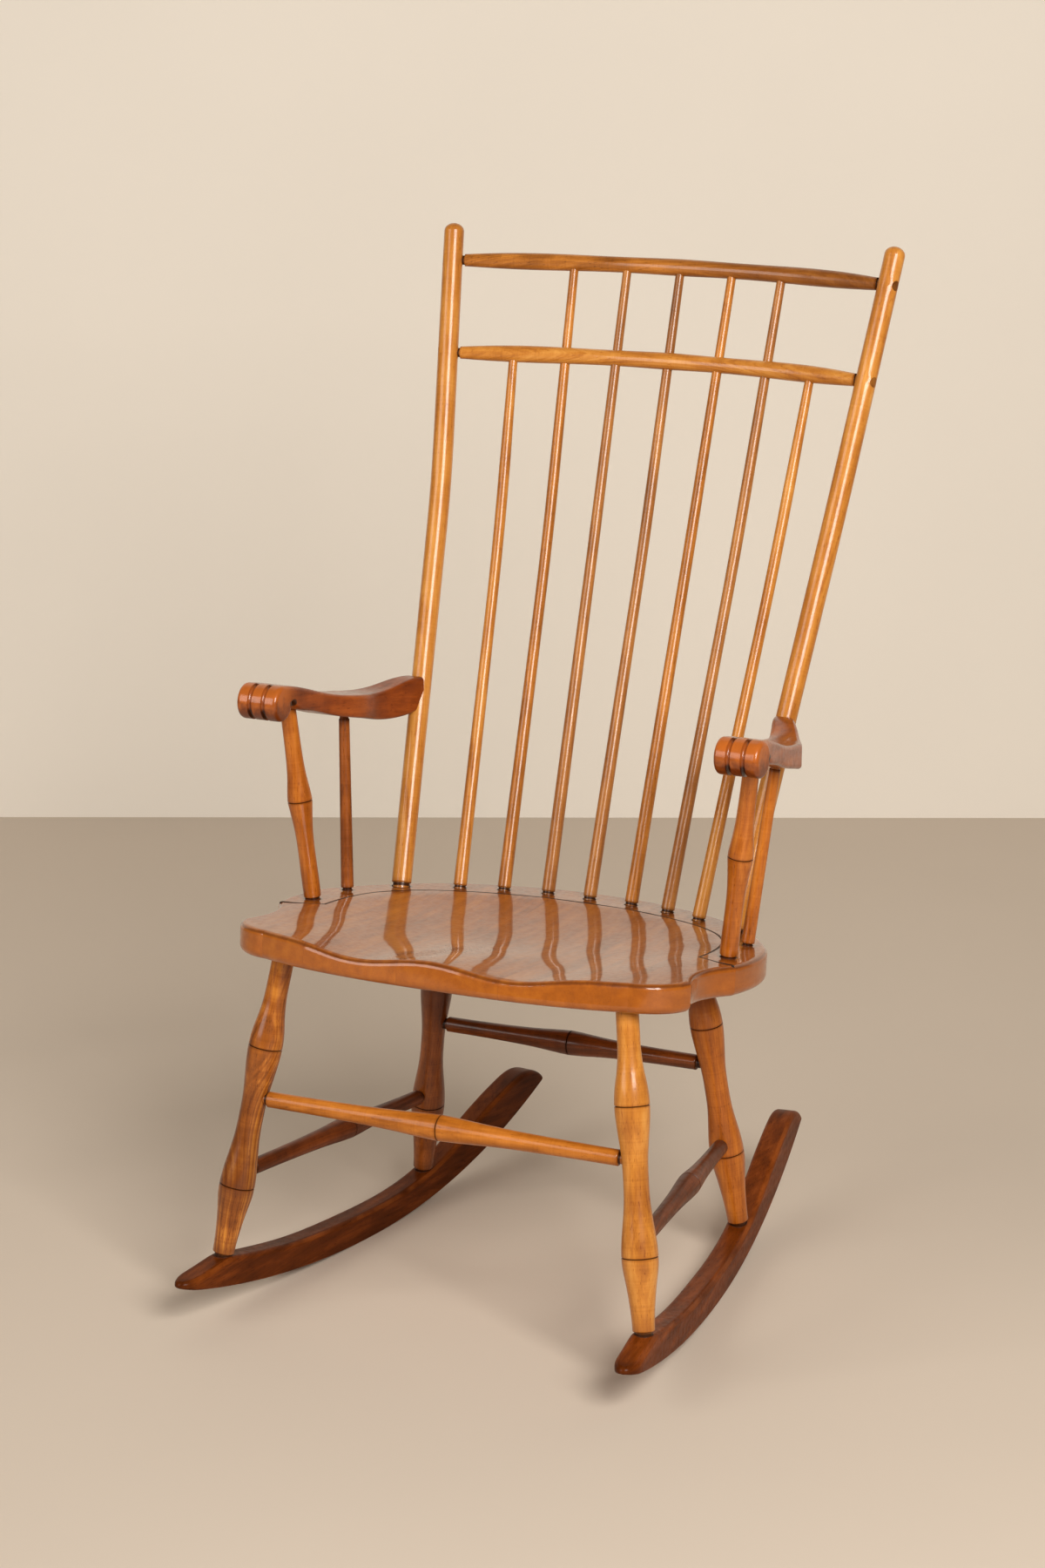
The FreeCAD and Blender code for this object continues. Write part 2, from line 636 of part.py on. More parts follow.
def knuckles():
    """The roll at the front of an arm, rounded at its ends and gouged into three knuckles."""
    size, soft, deep = knuckle_diameter, arm_edge_round, knuckle_diameter - 2 * knuckle_groove_depth
    side = knuckle_groove_width / 2
    inner = arm_plan(*arm_inner_shares[0]).x
    wide = arm_outer_spread - inner
    near = [(0, size - 2 * soft), (soft * 0.293, size - soft * 0.586), (soft, size)]
    far = [(wide - at, big) for at, big in reversed(near)]
    runs, last = [near], soft
    for middle in (wide / 3, wide * 2 / 3):
        runs.append([(last, size), (middle - side, size)])
        runs.append([(middle - side, size), (middle - side / 2, deep + (size - deep) * 0.22), (middle, deep),
                     (middle + side / 2, deep + (size - deep) * 0.22), (middle + side, size)])
        last = middle + side
    runs += [[(last, size), (wide - soft, size)], far]
    return turned(V(inner, -arm_front_reach, arm_height - size / 2), V(1, 0, 0), runs)


# The arm's round tenon runs from the middle of its narrow end to the post's axis
arm_joint = at_height(post_foot, post_knee, arm_height - arm_tenon_drop)
arm_tail = (arm_plan(*arm_inner_shares[-2]) + arm_plan(*arm_outer_shares[-3])) / 2 + V(0, 0, arm_joint.z)
arm_into = unit(arm_tail, arm_joint)
arm_mouth = arm_joint - arm_into * (post_diameter / 2)


def arm():
    """The left arm: slab and knuckles in one, coped to the post and bored for the two turnings."""
    cope = rod(post_foot, post_low, arm_height, post_diameter + 2 * end_gap)
    solid = arm_slab().fuse(knuckles()).cut(cope)
    solid = solid.fuse(rod(arm_tail, arm_into, (arm_mouth - arm_tail).Length + arm_tenon_length, arm_tenon_diameter))
    stump_way, spindle_way = unit(stump_foot, stump_top), unit(arm_spindle_foot, arm_spindle_top)
    solid = solid.cut(socket(stump_top, stump_way, under_arm_depth, stump_top_diameter))
    depth = arm_spindle_neck + under_arm_depth
    solid = solid.cut(socket(arm_spindle_top, spindle_way, depth, arm_spindle_tenon_diameter))
    return solid.removeSplitter().Solids[0]


def post():
    """The left post, bored for both rails and for the arm."""
    solid = post_blank()
    for height, bow in ((top_rail_height, top_rail_bow), (lower_rail_height, lower_rail_bow)):
        curve = rail_curve(height, bow)
        centre, along = rail_point(curve, rail_end(curve))
        hole = rod(centre, -along, 2 * overrun, rail_tenon_diameter + 2 * fit)
        solid = solid.cut(mirrored(hole))
    return solid.cut(socket(arm_mouth, arm_into, arm_tenon_length, arm_tenon_diameter))


def rail(height, bow, through, ending):
    """A rail with the holes for the spindles that pass through it or end in it."""
    solid = rail_blank(height, bow)
    for index in through + ending:
        tool = spindle(index, fit, end_gap)
        solid = solid.cut(tool)
        if index:
            solid = solid.cut(mirrored(tool))
    return solid


# The axes of the left legs, and the places on them where the stretchers meet
front_foot = on_rocker(-front_foot_reach, rocker_front_foot_depth)
front_top = under_seat(front_leg_top_spread, -front_leg_top_reach)
back_foot = on_rocker(back_foot_reach, rocker_back_foot_depth)
back_top = under_seat(back_leg_top_spread, back_leg_top_reach)
front_cross = at_height(front_foot, front_top, front_stretcher_height)
rear_cross = at_height(back_foot, back_top, rear_stretcher_height)
side_front = at_height(front_foot, front_top, side_stretcher_front_height)
side_back = at_height(back_foot, back_top, side_stretcher_back_height)
side_way = unit(side_front, side_back)


def bored_leg(foot, top, rings, cross, cross_diameter, side_point, toward):
    """A left leg with its sockets for a cross stretcher and a side stretcher."""
    solid = leg(foot, top, *rings).cut(stretcher_socket(cross, V(-1, 0, 0), cross_diameter))
    return solid.cut(stretcher_socket(side_point, toward, leg_side_cross_diameter))


def rocker():
    """The left rocker, bored for the feet of both legs."""
    solid = rocker_blank()
    for foot, top in ((front_foot, front_top), (back_foot, back_top)):
        solid = solid.cut(socket(foot, unit(top, foot), foot_tenon_length, foot_tenon_diameter))
    return solid


def cross_stretcher(point, leg_diameter):
    """A stretcher from leg to leg across the chair."""
    off = leg_diameter / 2 + stretcher_neck
    return stretcher(V(-point.x, point.y, point.z), point, off, stretcher_ring_diameter, 0)


def seat():
    """The seat with every socket bored, above for posts and spindles and below for the legs."""
    tools = [socket(front_top, unit(front_foot, front_top), leg_socket_depth, leg_top_diameter)]
    tools.append(socket(back_top, unit(back_foot, back_top), leg_socket_depth, leg_top_diameter))
    tools.append(socket(post_foot, -post_low, post_tenon_length, post_tenon_diameter))
    tools.append(socket(stump_foot, unit(stump_top, stump_foot), stump_tenon_length, stump_tenon_diameter))
    way = unit(arm_spindle_top, arm_spindle_foot)
    tools.append(socket(arm_spindle_foot, way, arm_spindle_tenon_length, arm_spindle_tenon_diameter))
    tools += [spindle_socket(index) for index in range(1, len(spindle_bow))]
    solid = seat_blank().cut(spindle_socket(0))
    for tool in tools:
        solid = solid.cut(tool).cut(mirrored(tool))
    return solid


side_off = leg_side_cross_diameter / 2 + stretcher_neck
single = {
    "seat": seat(),
    "front_stretcher": cross_stretcher(front_cross, leg_front_cross_diameter),
    "rear_stretcher": cross_stretcher(rear_cross, leg_rear_cross_diameter),
    "top_rail": rail(top_rail_height, top_rail_bow, [], [0, 1, 2]),
    "lower_rail": rail(lower_rail_height, lower_rail_bow, [0, 1, 2], [3]),
    "spindle_4": spindle(0),
}
paired = {
    "rocker": rocker(),
    "leg_front": bored_leg(front_foot, front_top, (front_leg_ring_height, front_leg_ring_spacing), front_cross,
                           leg_front_cross_diameter, side_front, side_way),
    "leg_back": bored_leg(back_foot, back_top, (back_leg_ring_height, back_leg_ring_spacing), rear_cross,
                          leg_rear_cross_diameter, side_back, -side_way),
    "side_stretcher": stretcher(side_front, side_back, side_off, side_stretcher_ring_diameter,
                                side_stretcher_ring_offset),
    "back_post": post(),
    "arm": arm(),
    "arm_stump": arm_stump(),
    "arm_spindle": arm_spindle(),
}

chair = dict(single)
for name, shape in paired.items():
    chair[name + "_left"] = shape
    chair[name + "_right"] = mirrored(shape)
for index in (1, 2, 3):
    chair["spindle_%d" % (4 + index)] = spindle(index)
    chair["spindle_%d" % (4 - index)] = mirrored(spindle(index))

# The origin goes to the floor under the middle of the whole chair's box
box = Part.makeCompound(list(chair.values())).optimalBoundingBox()
for name, shape in chair.items():
    shape.translate(V(0, -(box.YMin + box.YMax) / 2, -box.ZMin))
    shape.exportStep("parts/" + name + ".step")
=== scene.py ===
from math import radians

import bpy
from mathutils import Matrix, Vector
from mathutils.bvhtree import BVHTree


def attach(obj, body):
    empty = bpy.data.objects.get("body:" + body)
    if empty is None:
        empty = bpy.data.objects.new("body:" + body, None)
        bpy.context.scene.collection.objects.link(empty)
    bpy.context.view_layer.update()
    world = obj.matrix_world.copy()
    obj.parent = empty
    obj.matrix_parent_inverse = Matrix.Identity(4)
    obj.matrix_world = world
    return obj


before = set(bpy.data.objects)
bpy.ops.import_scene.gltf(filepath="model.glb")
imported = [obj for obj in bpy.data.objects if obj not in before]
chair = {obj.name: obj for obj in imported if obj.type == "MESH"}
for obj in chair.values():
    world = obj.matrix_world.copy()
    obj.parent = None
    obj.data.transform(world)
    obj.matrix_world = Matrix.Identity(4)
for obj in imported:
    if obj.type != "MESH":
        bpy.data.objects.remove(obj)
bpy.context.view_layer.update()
scene = bpy.context.scene
scene.view_settings.view_transform = "Standard"


# The room. A plain pale floor and a plain pale wall behind the chair, with one large soft lamp
# high at the right, a weaker one at the left and even light from all round. The camera stands in
# front of the chair and to its left side, and looks down at it.

def tint(code):
    """A colour of three pairs of hexadecimal digits, as it is seen, turned into linear light."""
    seen = [int(code[i:i + 2], 16) / 255 for i in (0, 2, 4)]
    return tuple(s / 12.92 if s <= 0.04045 else ((s + 0.055) / 1.055) ** 2.4 for s in seen) + (1,)


def writer(tree):
    """A function that adds one node to a tree, with its settings and inputs, and gives its outputs."""
    def step(kind, inputs=(), **settings):
        made = tree.nodes.new(kind)
        for name, value in settings.items():
            setattr(made, name, value)
        for socket, value in dict(inputs).items():
            if isinstance(value, bpy.types.NodeSocket):
                tree.links.new(value, made.inputs[socket])
            else:
                made.inputs[socket].default_value = value
        return made.outputs
    return step


def start_finish(name):
    """An empty material and the function that writes into it."""
    finish = bpy.data.materials.new(name)
    finish.use_nodes = True
    finish.node_tree.nodes.clear()
    return finish, writer(finish.node_tree)


def own_place(step):
    """The place on the piece itself, in metres."""
    return step("ShaderNodeTexCoord")["Object"]


def clouds(step, place, per_metre, detail=2.0):
    """A soft uneven pattern with about so many clouds to the metre."""
    return step("ShaderNodeTexNoise", {"Vector": place, "Scale": per_metre, "Detail": detail})[0]


def between(step, share, first, second):
    """The first colour where the share is nought, the second where it is one, and a mix between."""
    return step("ShaderNodeMix", {0: share, 6: first, 7: second}, data_type="RGBA")[2]


def plain_board(name, corners, colour):
    """A flat sheet of the room, in dull paint of faintly uneven tone, that is seen from its front only."""
    unevenness, dullness = 0.04, 0.75
    paint, step = start_finish(name)
    darker, lighter = [tuple(part * share for part in tint(colour)[:3]) + (1,)
                       for share in (1 - unevenness, 1 + unevenness)]
    shade = between(step, clouds(step, own_place(step), per_metre=1.3, detail=3.0), darker, lighter)
    dull = step("ShaderNodeBsdfPrincipled", {"Base Color": shade, "Roughness": dullness})[0]
    clear = step("ShaderNodeBsdfTransparent")[0]
    back = step("ShaderNodeNewGeometry")["Backfacing"]
    seen = step("ShaderNodeMixShader", {0: back, 1: dull, 2: clear})[0]
    step("ShaderNodeOutputMaterial", {"Surface": seen})
    mesh = bpy.data.meshes.new(name)
    mesh.from_pydata(corners, [], [range(len(corners))])
    mesh.materials.append(paint)
    sheet = bpy.data.objects.new(name, mesh)
    scene.collection.objects.link(sheet)


wall_foot, wall_way = Vector((-0.852, 1.691, 0)), Vector((0.9032, 0.4292, 0))
left_reach, right_reach = 2.4, 3.4
wall_left, wall_right = wall_foot - wall_way * left_reach, wall_foot + wall_way * right_reach
wall_height = Vector((0, 0, 4))
plain_board("wall", (wall_left, wall_right, wall_right + wall_height, wall_left + wall_height), "E9E1D5")
floor_reach = 3.2
floor_corners = [(x * floor_reach, y * floor_reach, 0) for x, y in ((-1, -1), (1, -1), (1, 1), (-1, 1))]
plain_board("floor", floor_corners, "CDBFAF")

tilt, roll, turn = 75.1429, -0.0942, 25.2585
camera = bpy.data.objects.new("camera", bpy.data.cameras.new("camera"))
camera.data.lens = 84.0
camera.location = (1.64729, -3.55655, 1.59903)
camera.rotation_euler = (radians(tilt), radians(roll), radians(turn))
scene.collection.objects.link(camera)
scene.camera = camera

lamp_colour, lamp_aim = (1.0, 0.96, 0.91), Vector((0, 0, 0.6))
for name, place, size, power in (("right_lamp", (2.6, -2.4, 2.7), 1.9, 195),
                                 ("left_lamp", (-2.0, -3.2, 2.0), 2.2, 66)):
    lamp = bpy.data.lights.new(name, "AREA")
    lamp.size, lamp.energy, lamp.color = size, power, lamp_colour
    holder = bpy.data.objects.new(name, lamp)
    holder.location = place
    holder.rotation_euler = (lamp_aim - Vector(place)).to_track_quat("-Z", "Y").to_euler()
    scene.collection.objects.link(holder)

light_all_round, seen_beyond_the_room = "5F5B55", "E2DACD"
scene.world = bpy.data.worlds.new("room_light")
scene.world.use_nodes = True
scene.world.node_tree.nodes.clear()
air = writer(scene.world.node_tree)
camera_ray = air("ShaderNodeLightPath")["Is Camera Ray"]
glow = between(air, camera_ray, tint(light_all_round), tint(seen_beyond_the_room))
air("ShaderNodeOutputWorld", {"Surface": air("ShaderNodeBackground", {"Color": glow, "Strength": 1.0})[0]})


# The seat is a thick plank of maple boards glued edge to edge, their grain running front to back.
# It is hollowed to a saddle and its rims are rounded over. It is stained amber, darker round the
# feet that stand in it, with painted shade there too, paler where the rim is rubbed, with a painted
# band of shade along the rounded top edge, and lacquered to a deep gloss.

def reckon(step, operation, *terms):
    """One sum with single numbers."""
    return step("ShaderNodeMath", dict(enumerate(terms)), operation=operation)[0]


def reckon_place(step, operation, *terms):
    """One sum with places, for each of their three numbers."""
    return step("ShaderNodeVectorMath", dict(enumerate(terms)), operation=operation)[0]


def graded(step, value, start, end, first=0.0, last=1.0):
    """A measure that goes evenly from its first to its last, as the value goes from start to end."""
    return step("ShaderNodeMapRange", {0: value, 1: start, 2: end, 3: first, 4: last})[0]


def mask(step, value, start, full, most=1.0):
    """A mask that is nought where the value is at its start and eases up to its most where it is full."""
    return step("ShaderNodeMapRange", {0: value, 1: start, 2: full, 4: most},
                interpolation_type="SMOOTHSTEP")[0]


def picked(step, operation, values):
    """The least or the greatest of several values, place by place."""
    found, *others = values
    for value in others:
        found = reckon(step, operation, found, value)
    return found


def apart(step, value, middle):
    """How far a value is from a middle, on either side of it."""
    return reckon(step, "ABSOLUTE", reckon(step, "SUBTRACT", value, middle))


def figured_wood():
    """Maple: growth rings round a far heart, fibres, mottle, pores, drifts of stain and a cross curl.

    Its place is in metres, with Z along the grain. Rings, Curl and Drift say how strongly each shows,
    and Lathe how strongly the fine bands do that turning leaves. It gives a colour and a relief.
    """
    waviness, heart_nearest, heart_spread = 0.03, (0.01, 0.02, 0), (0.07, 0.07, 0)
    lean_axis, lean_angle, lengthwise_share = (0.5, -0.8, 0), 0.11, 0.07
    fibre_weight, mottle_weight, pore_weight = 0.25, 1.2, 0.22
    ring_relief, fibre_relief = 0.2, 0.6
    group = bpy.data.node_groups.new("figured_wood", "ShaderNodeTree")
    for name, kind in (("Place", "Vector"), ("Board", "Float"), ("Pale", "Color"), ("Middle", "Color"),
                       ("Deep", "Color"), ("Rings", "Float"), ("Curl", "Float"), ("Drift", "Float"),
                       ("Lathe", "Float")):
        group.interface.new_socket(name, in_out="INPUT", socket_type="NodeSocket" + kind)
    for name, kind in (("Color", "Color"), ("Relief", "Float")):
        group.interface.new_socket(name, in_out="OUTPUT", socket_type="NodeSocket" + kind)
    step = writer(group)
    given = step("NodeGroupInput")
    place, board = given["Place"], given["Board"]

    def noise(per_metre, detail, across=1, along=1):
        """A noise of this board alone. It is drawn out along or across the grain by a share under one."""
        at = reckon_place(step, "MULTIPLY", place, (across, across, along))
        return step("ShaderNodeTexNoise", {"Vector": at, "W": board, "Scale": per_metre, "Detail": detail},
                    noise_dimensions="4D")

    def bands(distance, per_metre):
        """Uneven bands of this board alone, one after another along a distance."""
        at = reckon(step, "MULTIPLY_ADD", distance, per_metre, board)
        return step("ShaderNodeTexNoise", {"W": at, "Scale": 1.0, "Detail": 2.0}, noise_dimensions="1D")[0]

    def sum_of(parts):
        """Each part less its middle, times its weight, added to a half."""
        total = 0.5
        for part, weight in parts:
            total = reckon(step, "MULTIPLY_ADD", reckon(step, "SUBTRACT", part, 0.5), weight, total)
        return total

    wave = noise(per_metre=7.0, detail=2.0, along=0.3)["Color"]
    wave = reckon_place(step, "SUBTRACT", wave, (0.5, 0.5, 0.5))
    wave = reckon_place(step, "MULTIPLY", wave, (waviness, waviness, 0))
    luck = step("ShaderNodeTexWhiteNoise", {"W": board}, noise_dimensions="1D")["Color"]
    heart = reckon_place(step, "MULTIPLY_ADD", luck, heart_spread, heart_nearest)
    leaning = step("ShaderNodeVectorRotate", {"Vector": place, "Axis": lean_axis, "Angle": lean_angle})[0]
    round_heart = reckon_place(step, "MULTIPLY_ADD", leaning, (1, 1, lengthwise_share), wave)
    round_heart = reckon_place(step, "ADD", round_heart, heart)
    radius = step("ShaderNodeVectorMath", {0: round_heart}, operation="LENGTH")["Value"]
    rings = bands(radius, per_metre=420.0)
    lathe = bands(step("ShaderNodeSeparateXYZ", {0: place})[2], per_metre=430.0)
    fibres = noise(per_metre=620.0, detail=3.0, along=0.03)[0]
    mottle = noise(per_metre=95.0, detail=4.0, along=0.16)[0]
    pores = mask(step, noise(per_metre=900.0, detail=0.0, along=0.16)[0], start=0.66, full=0.76)
    drift = noise(per_metre=8.0, detail=3.0, along=0.45)[0]
    curl = noise(per_metre=75.0, detail=1.0, across=0.35)[0]
    tone = sum_of(((rings, given["Rings"]), (fibres, fibre_weight), (drift, given["Drift"]),
                   (curl, given["Curl"]), (mottle, mottle_weight), (lathe, given["Lathe"])))
    tone = reckon(step, "MULTIPLY_ADD", pores, pore_weight, tone)
    colour = between(step, graded(step, tone, start=0.1, end=0.52), given["Pale"], given["Middle"])
    colour = between(step, graded(step, tone, start=0.5, end=1.0), colour, given["Deep"])
    relief = sum_of(((rings, ring_relief), (fibres, fibre_relief)))
    step("NodeGroupOutput", {"Color": colour, "Relief": relief})
    return group


wood = figured_wood()


def stained_wood(step, place, stain, board, rings, curl, drift, lathe=0.0):
    """The wood of one piece: its stain's pale, middle and deep colours and the weights of its figure."""
    pale, middle, deep = [tint(code) for code in stain]
    return step("ShaderNodeGroup", {"Place": place, "Board": board, "Pale": pale, "Middle": middle,
                                    "Deep": deep, "Rings": rings, "Curl": curl, "Drift": drift,
                                    "Lathe": lathe}, node_tree=wood)


def along_the_grain(step, foot, top, bow=0.0):
    """The place on a piece, with Z along its length from its foot and the bow of its bend taken out."""
    reach = Vector(top) - Vector(foot)
    place = step("ShaderNodeMapping", {"Vector": own_place(step), "Location": foot,
                                       "Rotation": reach.to_track_quat("Z", "Y").to_euler()},
                 vector_type="TEXTURE")[0]
    if bow:
        x, y, z = step("ShaderNodeSeparateXYZ", {0: place})
        share = reckon(step, "DIVIDE", z, reach.length)
        lift = reckon(step, "MULTIPLY", share, reckon(step, "SUBTRACT", 1.0, share))
        y = reckon(step, "MULTIPLY_ADD", lift, -4 * bow, y)
        place = step("ShaderNodeCombineXYZ", {0: x, 1: y, 2: z})[0]
    return place


def toned(step, colour, *layers):
    """The colour with layers of stain and of painted shade laid over it in turn, each as a mask, a colour and
    its strength.
    """
    for cover, stain, strength in layers:
        colour = between(step, reckon(step, "MULTIPLY", cover, strength), colour, tint(stain))
    return colour


def lacquered(step, grained, colour, coat, gloss, ripple, ripples_per_metre=26.0, shine=0.15):
    """Clear lacquer over stained wood: the grain shows faintly in it, and broad ripples bend its shine."""
    place, relief = own_place(step), grained["Relief"]
    waves = clouds(step, place, ripples_per_metre, detail=0.0)
    rub = clouds(step, place, per_metre=140.0, detail=4.0)
    dull = graded(step, rub, start=0.4, end=0.7, first=0.33, last=0.46)
    grain = step("ShaderNodeBump", {"Strength": 0.25, "Distance": 0.0001, "Height": relief})[0]
    skin = step("ShaderNodeBump", {"Strength": 1.0, "Distance": ripple, "Height": waves})[0]
    skin = step("ShaderNodeBump", {"Strength": 0.05, "Distance": 0.0002, "Height": relief, "Normal": skin})[0]
    wood_and_coat = step("ShaderNodeBsdfPrincipled", {
        "Base Color": colour, "Roughness": dull, "Normal": grain, "Specular IOR Level": shine,
        "Coat Weight": coat, "Coat Roughness": gloss, "Coat Normal": skin})[0]
    step("ShaderNodeOutputMaterial", {"Surface": wood_and_coat})


def wear(piece, finish):
    """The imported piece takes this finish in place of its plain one."""
    piece.material_slots[0].material = finish


# Where the middle spindle, the three beside it, the back post, the arm spindle and the arm stump
# stand on the seat, with the radius of each. The other side is the same, mirrored.
seat_feet = ((0.0, 0.12, 0.0078), (0.0523, 0.1195, 0.0078), (0.1026, 0.1067, 0.0078),
             (0.1493, 0.0861, 0.0078), (0.2075, 0.0507, 0.0115), (0.2463, -0.0083, 0.0074),
             (0.2525, -0.0795, 0.0097))


def seat_finish():
    """Glued boards under one stain, with its darker and its paler places, and painted shade round the feet
    and along the top edge.
    """
    seat_stain = ("B46A18", "98500E", "602C05")
    board_width, first_joint_share = 0.118, 0.31
    first_board, board_step = 11.0, 3.7
    halo_width = 0.0032
    finish, step = start_finish("seat_wood")
    x, y, _ = step("ShaderNodeSeparateXYZ", {0: own_place(step)})
    boards = reckon(step, "MULTIPLY_ADD", x, 1 / board_width, first_joint_share)
    number = reckon(step, "FLOOR", boards)
    board = reckon(step, "MULTIPLY_ADD", number, board_step, first_board)
    place = along_the_grain(step, foot=(0, -0.304, 0.44), top=(0, 0.296, 0.375))
    grained = stained_wood(step, place, seat_stain, board, rings=0.12, curl=0.2, drift=0.8)
    luck = step("ShaderNodeTexWhiteNoise", {"W": number}, noise_dimensions="1D")["Value"]
    from_middle = apart(step, reckon(step, "FRACT", boards), 0.5)
    glue = mask(step, from_middle, start=0.4935, full=0.4975)
    one_side = step("ShaderNodeCombineXYZ", {0: reckon(step, "ABSOLUTE", x), 1: y})[0]
    gaps = []
    for foot_x, foot_y, radius in seat_feet:
        away = step("ShaderNodeVectorMath", {0: one_side, 1: (foot_x, foot_y, 0)}, operation="DISTANCE")
        gaps.append(reckon(step, "SUBTRACT", away["Value"], radius))
    # Round each foot the seat is darker: stain collected there, and painted shade where the foot meets the
    # seat.
    stain_and_shade_round_feet = mask(step, picked(step, "MINIMUM", gaps), start=halo_width, full=0.0)
    facing_up = step("ShaderNodeSeparateXYZ", {0: step("ShaderNodeTexCoord")["Normal"]})[2]
    rim = mask(step, facing_up, start=0.55, full=0.25)
    # A band on the rounded top edge, between the top and the side, is painted darker as shade.
    painted_shade_on_arris = reckon(step, "MULTIPLY", mask(step, facing_up, start=0.93, full=0.8),
                   mask(step, facing_up, start=0.4, full=0.6))
    colour = toned(step, grained["Color"], (luck, "7A3C0E", 0.3), (glue, "6B3010", 0.35),
                   (stain_and_shade_round_feet, "3A1607", 0.8), (rim, "B0601A", 0.35), (painted_shade_on_arris, "4A1F08", 0.5))
    lacquered(step, grained, colour, coat=0.9, gloss=0.06, ripple=0.0036, ripples_per_metre=7.5)
    wear(chair["seat"], finish)


seat_finish()


# The line round the saddle is a round-bottomed cut three millimetres wide, filled with black paint.
# The paint follows the lowest place of the cut, fills it and stands a little crowned over the wood.

line_start, line_bend, line_corner = (0.2795, -0.1163), (0.2532, -0.1103), (0.227, -0.0983)
line_hoop = ((0.2259, -0.0453), (0.215, -0.0023), (0.1718, 0.0497), (0.1301, 0.0727), (0.0749, 0.0907),
             (0.0, 0.0977))

black_paint, step = start_finish("black_paint")
speck = clouds(step, own_place(step), per_metre=400.0)
paint_colour = between(step, speck, tint("120906"), tint("2A140B"))
dull = graded(step, speck, start=0, end=1, first=0.3, last=0.6)
paint = step("ShaderNodeBsdfPrincipled", {"Base Color": paint_colour, "Roughness": dull})[0]
step("ShaderNodeOutputMaterial", {"Surface": paint})


def smooth_path(points, corner):
    """Many points on a smooth line through a few, with a sharp turn where the corner is."""
    spline = bpy.data.curves.new("path", "CURVE")
    run = spline.splines.new("BEZIER")
    run.bezier_points.add(len(points) - 1)
    run.resolution_u = 24
    for knot, (x, y) in zip(run.bezier_points, points):
        knot.co = (x, y, 0)
        knot.handle_left_type = knot.handle_right_type = "VECTOR" if (abs(x), y) == corner else "AUTO"
    holder = bpy.data.objects.new("path", spline)
    line = bpy.data.meshes.new_from_object(holder)
    found = [Vector(v.co) for v in line.vertices]
    bpy.data.objects.remove(holder)
    return found


def lowest_near(surface, point, across):
    """The lowest place of the surface on a short run across the path."""
    reach, tries, above_the_seat = 0.0024, 8, 0.6
    found = []
    for i in range(-tries, tries + 1):
        at = point + across * (reach * i / tries)
        hit = surface.ray_cast(Vector((at.x, at.y, above_the_seat)), Vector((0, 0, -1)))[0]
        if hit:
            found.append(hit)
    return min(found, key=lambda hit: hit.z) if found else None


def painted_line():
    """The middle of the painted line, laid in the seat's cut."""
    half_span, closest = 0.2735, 0.0008
    half = [line_start, line_bend, line_corner, *line_hoop]
    path = smooth_path(half + [(-x, y) for x, y in reversed(half[:-1])], line_corner)
    surface = BVHTree.FromObject(chair["seat"], bpy.context.evaluated_depsgraph_get())
    places = []
    for before, point, after in zip(path, path[1:], path[2:]):
        way = (after - before).normalized()
        spot = lowest_near(surface, point, Vector((-way.y, way.x, 0)))
        if spot and abs(spot.x) < half_span and (not places or (spot - places[-1]).length > closest):
            places.append(spot)
    line = bpy.data.meshes.new("saddle_line")
    line.from_pydata(places, [(i, i + 1) for i in range(len(places) - 1)], [])
    return line


def start_growth(name, *sizes):
    """An empty tree that makes one mesh from another, with a named input for each of its sizes."""
    tree = bpy.data.node_groups.new(name, "GeometryNodeTree")
    tree.interface.new_socket("Geometry", in_out="OUTPUT", socket_type="NodeSocketGeometry")
    for size, kind in (("Geometry", "Geometry"), *sizes):
        tree.interface.new_socket(size, in_out="INPUT", socket_type="NodeSocket" + kind)
    return tree, writer(tree)


def end_growth(step, mesh, material):
    """The end of such a tree: a smooth plain mesh in its material."""
    mesh = step("GeometryNodeSetShadeSmooth", {"Geometry": mesh})[0]
    mesh = step("GeometryNodeRealizeInstances", {"Geometry": mesh})[0]
    mesh = step("GeometryNodeSetMaterial", {"Geometry": mesh, "Material": material})[0]
    step("NodeGroupOutput", {"Geometry": mesh})


def laid_bead():
    """A tree that lays a round bead of the given thickness along the edges of a mesh, raised a little."""
    tree, step = start_growth("laid_bead", ("Radius", "Float"), ("Rise", "Float"), ("Paint", "Material"))
    given = step("NodeGroupInput")
    rise = step("ShaderNodeCombineXYZ", {2: given["Rise"]})[0]
    path = step("GeometryNodeMeshToCurve", {"Mesh": given["Geometry"]})[0]
    path = step("GeometryNodeSetPosition", {"Geometry": path, "Offset": rise})[0]
    section = step("GeometryNodeCurvePrimitiveCircle", {"Resolution": 10, "Radius": given["Radius"]})[0]
    bead = step("GeometryNodeCurveToMesh", {"Curve": path, "Profile Curve": section, "Fill Caps": True})[0]
    end_growth(step, bead, given["Paint"])
    return tree


def grown(name, mesh, tree, sizes):
    """The plain mesh that a tree makes of another, as a piece of the chair."""
    holder = bpy.data.objects.new(name + "_start", mesh)
    scene.collection.objects.link(holder)
    growth = holder.modifiers.new("growth", "NODES")
    growth.node_group = tree
    for socket in tree.interface.items_tree:
        if socket.in_out == "INPUT" and socket.name in sizes:
            growth[socket.identifier] = sizes[socket.name]
    seen = holder.evaluated_get(bpy.context.evaluated_depsgraph_get())
    piece = bpy.data.objects.new(name, bpy.data.meshes.new_from_object(seen))
    holder.modifiers.clear()
    bpy.data.objects.remove(holder)
    scene.collection.objects.link(piece)
    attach(piece, "root")


grown("saddle_line", painted_line(), laid_bead(),
      {"Radius": 0.0017, "Rise": 0.0002, "Paint": black_paint})
